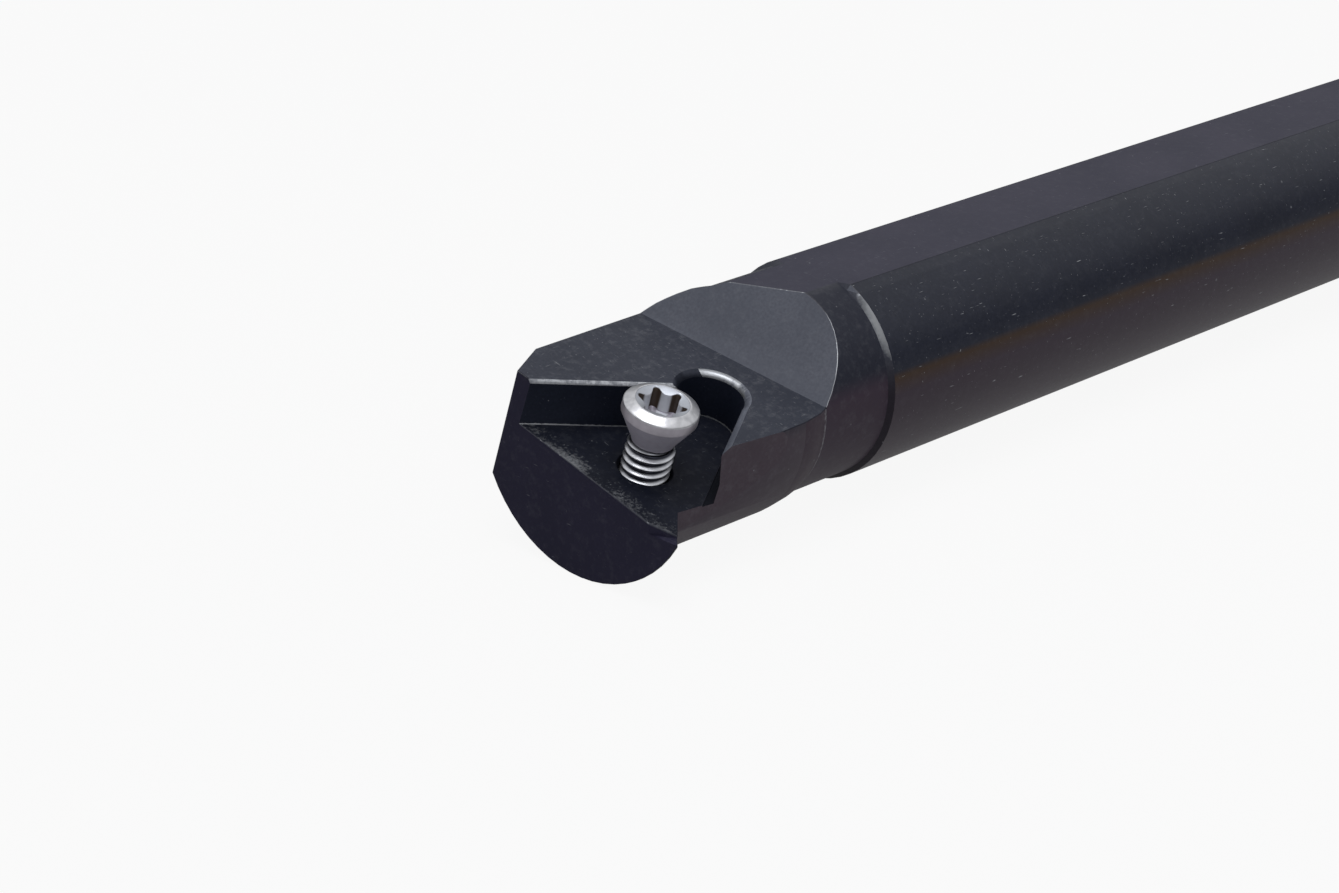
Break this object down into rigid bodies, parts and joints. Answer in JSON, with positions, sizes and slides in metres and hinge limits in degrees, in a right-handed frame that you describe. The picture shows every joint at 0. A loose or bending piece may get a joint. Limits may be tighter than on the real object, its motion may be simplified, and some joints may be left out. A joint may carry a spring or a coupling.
{
  "type": "threading tool holder",
  "caption": "Round internal threading bar with a clamping flat, a slimmer neck and a tilted seat for a three-cornered insert, with the insert's clamping screw backed off.",
  "frame": {"origin": "on the bar's axis, at the shoulder where the shank begins", "axes": "+X along the bar towards its rear end, +Z out of the clamping flat, -Y towards the cutting side"},
  "size_m": [0.15, 0.0176, 0.0158],
  "materials": {
    "black_steel": "satin",
    "bright_steel": "satin"
  },
  "bodies": {
    "holder": {"holder_bar": "black_steel"},
    "screw": {"insert_screw": "bright_steel"}
  },
  "joints": [
    {"name": "screw_travel", "type": "slide", "parent": "holder", "child": "screw", "axis": [-0.0253, -0.2588, 0.9656], "range_m": [-0.003, 0.003]}
  ]
}
